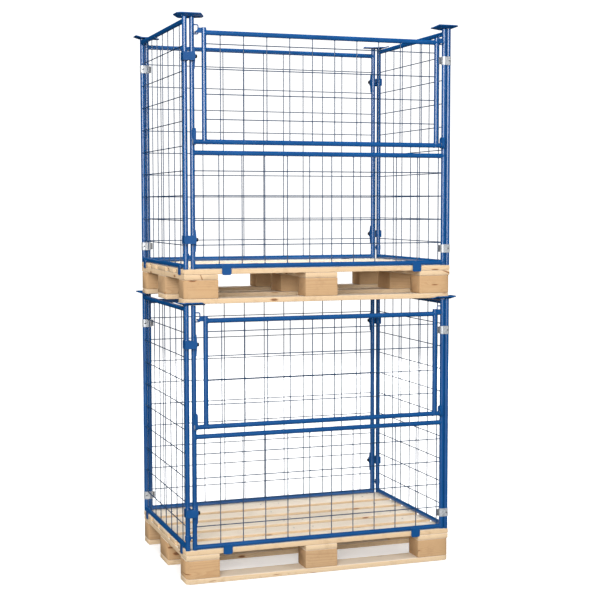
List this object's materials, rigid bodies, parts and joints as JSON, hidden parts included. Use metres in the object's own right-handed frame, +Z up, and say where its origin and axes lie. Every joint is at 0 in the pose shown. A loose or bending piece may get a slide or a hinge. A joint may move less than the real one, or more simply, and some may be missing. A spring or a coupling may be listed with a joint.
{
  "type": "wire mesh container",
  "caption": "Collapsible wire mesh cages on wooden pallets, stacked one on another, each with hinged long sides and a fold-down gate.",
  "frame": {"origin": "centre of the lower pallet's footprint, on the floor", "axes": "+X along the pallets' long side, -Y is the front with the drop gates, +Z is up"},
  "size_m": [1.2568, 0.8568, 2.357],
  "materials": {
    "pine_boards": "sawn, untreated",
    "pine_blocks": "sawn, untreated",
    "nail_steel": "dull",
    "blue_tube": "powder coat, satin",
    "blue_wire": "powder coat, satin",
    "galvanised_steel": "galvanised",
    "spring_steel": "bright",
    "black_knob": "moulded"
  },
  "bodies": {
    "lower_pallet": {"lower_deck_boards": "pine_boards", "lower_stringer_boards": "pine_boards", "lower_blocks": "pine_blocks", "lower_bottom_boards": "pine_boards", "lower_pallet_nails": "nail_steel"},
    "lower_cage": {"lower_left_end_frame": "blue_tube", "lower_right_end_frame": "blue_tube", "lower_end_meshes": "blue_wire", "lower_stacking_corners": "blue_tube", "lower_bolt_keepers": "blue_tube", "lower_hinge_bands": "galvanised_steel"},
    "lower_front_panel": {"lower_front_frame": "blue_tube", "lower_front_mesh": "blue_wire", "lower_front_bolt_housings": "blue_tube", "lower_front_bolt_springs": "spring_steel"},
    "lower_gate_pins": {"lower_gate_pivot_pins": "galvanised_steel"},
    "lower_gate": {"lower_gate_frame": "blue_tube", "lower_gate_mesh": "blue_wire"},
    "lower_back_panel": {"lower_back_frame": "blue_tube", "lower_back_mesh": "blue_wire", "lower_back_bolt_housings": "blue_tube", "lower_back_bolt_springs": "spring_steel"},
    "lower_front_top_bolt_pull": {"lower_front_top_bolt": "galvanised_steel", "lower_front_top_knob": "black_knob"},
    "lower_front_low_bolt_pull": {"lower_front_low_bolt": "galvanised_steel", "lower_front_low_knob": "black_knob"},
    "lower_back_top_bolt_pull": {"lower_back_top_bolt": "galvanised_steel", "lower_back_top_knob": "black_knob"},
    "lower_back_low_bolt_pull": {"lower_back_low_bolt": "galvanised_steel", "lower_back_low_knob": "black_knob"},
    "upper_pallet": {"upper_deck_boards": "pine_boards", "upper_stringer_boards": "pine_boards", "upper_blocks": "pine_blocks", "upper_bottom_boards": "pine_boards", "upper_pallet_nails": "nail_steel"},
    "upper_cage": {"upper_left_end_frame": "blue_tube", "upper_right_end_frame": "blue_tube", "upper_end_meshes": "blue_wire", "upper_stacking_corners": "blue_tube", "upper_bolt_keepers": "blue_tube", "upper_hinge_bands": "galvanised_steel"},
    "upper_front_panel": {"upper_front_frame": "blue_tube", "upper_front_mesh": "blue_wire", "upper_front_bolt_housings": "blue_tube", "upper_front_bolt_springs": "spring_steel"},
    "upper_gate_pins": {"upper_gate_pivot_pins": "galvanised_steel"},
    "upper_gate": {"upper_gate_frame": "blue_tube", "upper_gate_mesh": "blue_wire"},
    "upper_back_panel": {"upper_back_frame": "blue_tube", "upper_back_mesh": "blue_wire", "upper_back_bolt_housings": "blue_tube", "upper_back_bolt_springs": "spring_steel"},
    "upper_front_top_bolt_pull": {"upper_front_top_bolt": "galvanised_steel", "upper_front_top_knob": "black_knob"},
    "upper_front_low_bolt_pull": {"upper_front_low_bolt": "galvanised_steel", "upper_front_low_knob": "black_knob"},
    "upper_back_top_bolt_pull": {"upper_back_top_bolt": "galvanised_steel", "upper_back_top_knob": "black_knob"},
    "upper_back_low_bolt_pull": {"upper_back_low_bolt": "galvanised_steel", "upper_back_low_knob": "black_knob"}
  },
  "joints": [
    {"name": "lower_cage_lift", "type": "slide", "parent": "lower_pallet", "child": "lower_cage", "axis": [0, 0, 1], "range_m": [0, 0.3]},
    {"name": "lower_front_panel_hinge", "type": "hinge", "parent": "lower_cage", "child": "lower_front_panel", "pos_m": [0.5699, -0.3905, 0.624], "axis": [0, 0, 1], "range_deg": [0, 90]},
    {"name": "lower_back_panel_hinge", "type": "hinge", "parent": "lower_cage", "child": "lower_back_panel", "pos_m": [-0.5699, 0.3905, 0.624], "axis": [0, 0, 1], "range_deg": [0, 90]},
    {"name": "lower_gate_lift", "type": "slide", "parent": "lower_front_panel", "child": "lower_gate_pins", "axis": [0, 0, 1], "range_m": [0, 0.022]},
    {"name": "lower_gate_fold", "type": "hinge", "parent": "lower_gate_pins", "child": "lower_gate", "pos_m": [0.0047, -0.4115, 0.665], "axis": [1, 0, 0], "range_deg": [0, 180]},
    {"name": "lower_front_top_bolt_slide", "type": "slide", "parent": "lower_front_panel", "child": "lower_front_top_bolt_pull", "axis": [1, 0, 0], "range_m": [0, 0.01], "stiffness_N_per_m": 400, "springref_m": -0.005, "deforming": ["lower_front_bolt_springs"]},
    {"name": "lower_front_low_bolt_slide", "type": "slide", "parent": "lower_front_panel", "child": "lower_front_low_bolt_pull", "axis": [1, 0, 0], "range_m": [0, 0.01], "stiffness_N_per_m": 400, "springref_m": -0.005, "deforming": ["lower_front_bolt_springs"]},
    {"name": "lower_back_top_bolt_slide", "type": "slide", "parent": "lower_back_panel", "child": "lower_back_top_bolt_pull", "axis": [-1, 0, 0], "range_m": [0, 0.01], "stiffness_N_per_m": 400, "springref_m": -0.005, "deforming": ["lower_back_bolt_springs"]},
    {"name": "lower_back_low_bolt_slide", "type": "slide", "parent": "lower_back_panel", "child": "lower_back_low_bolt_pull", "axis": [-1, 0, 0], "range_m": [0, 0.01], "stiffness_N_per_m": 400, "springref_m": -0.005, "deforming": ["lower_back_bolt_springs"]},
    {"name": "stack_lift", "type": "slide", "parent": "lower_cage", "child": "upper_pallet", "axis": [0, 0, 1], "range_m": [0, 0.3]},
    {"name": "upper_cage_lift", "type": "slide", "parent": "upper_pallet", "child": "upper_cage", "axis": [0, 0, 1], "range_m": [0, 0.3]},
    {"name": "upper_front_panel_hinge", "type": "hinge", "parent": "upper_cage", "child": "upper_front_panel", "pos_m": [0.5699, -0.3905, 1.798], "axis": [0, 0, 1], "range_deg": [0, 90]},
    {"name": "upper_back_panel_hinge", "type": "hinge", "parent": "upper_cage", "child": "upper_back_panel", "pos_m": [-0.5699, 0.3905, 1.798], "axis": [0, 0, 1], "range_deg": [0, 90]},
    {"name": "upper_gate_lift", "type": "slide", "parent": "upper_front_panel", "child": "upper_gate_pins", "axis": [0, 0, 1], "range_m": [0, 0.022]},
    {"name": "upper_gate_fold", "type": "hinge", "parent": "upper_gate_pins", "child": "upper_gate", "pos_m": [0.0047, -0.4115, 1.839], "axis": [1, 0, 0], "range_deg": [0, 180]},
    {"name": "upper_front_top_bolt_slide", "type": "slide", "parent": "upper_front_panel", "child": "upper_front_top_bolt_pull", "axis": [1, 0, 0], "range_m": [0, 0.01], "stiffness_N_per_m": 400, "springref_m": -0.005, "deforming": ["upper_front_bolt_springs"]},
    {"name": "upper_front_low_bolt_slide", "type": "slide", "parent": "upper_front_panel", "child": "upper_front_low_bolt_pull", "axis": [1, 0, 0], "range_m": [0, 0.01], "stiffness_N_per_m": 400, "springref_m": -0.005, "deforming": ["upper_front_bolt_springs"]},
    {"name": "upper_back_top_bolt_slide", "type": "slide", "parent": "upper_back_panel", "child": "upper_back_top_bolt_pull", "axis": [-1, 0, 0], "range_m": [0, 0.01], "stiffness_N_per_m": 400, "springref_m": -0.005, "deforming": ["upper_back_bolt_springs"]},
    {"name": "upper_back_low_bolt_slide", "type": "slide", "parent": "upper_back_panel", "child": "upper_back_low_bolt_pull", "axis": [-1, 0, 0], "range_m": [0, 0.01], "stiffness_N_per_m": 400, "springref_m": -0.005, "deforming": ["upper_back_bolt_springs"]}
  ]
}
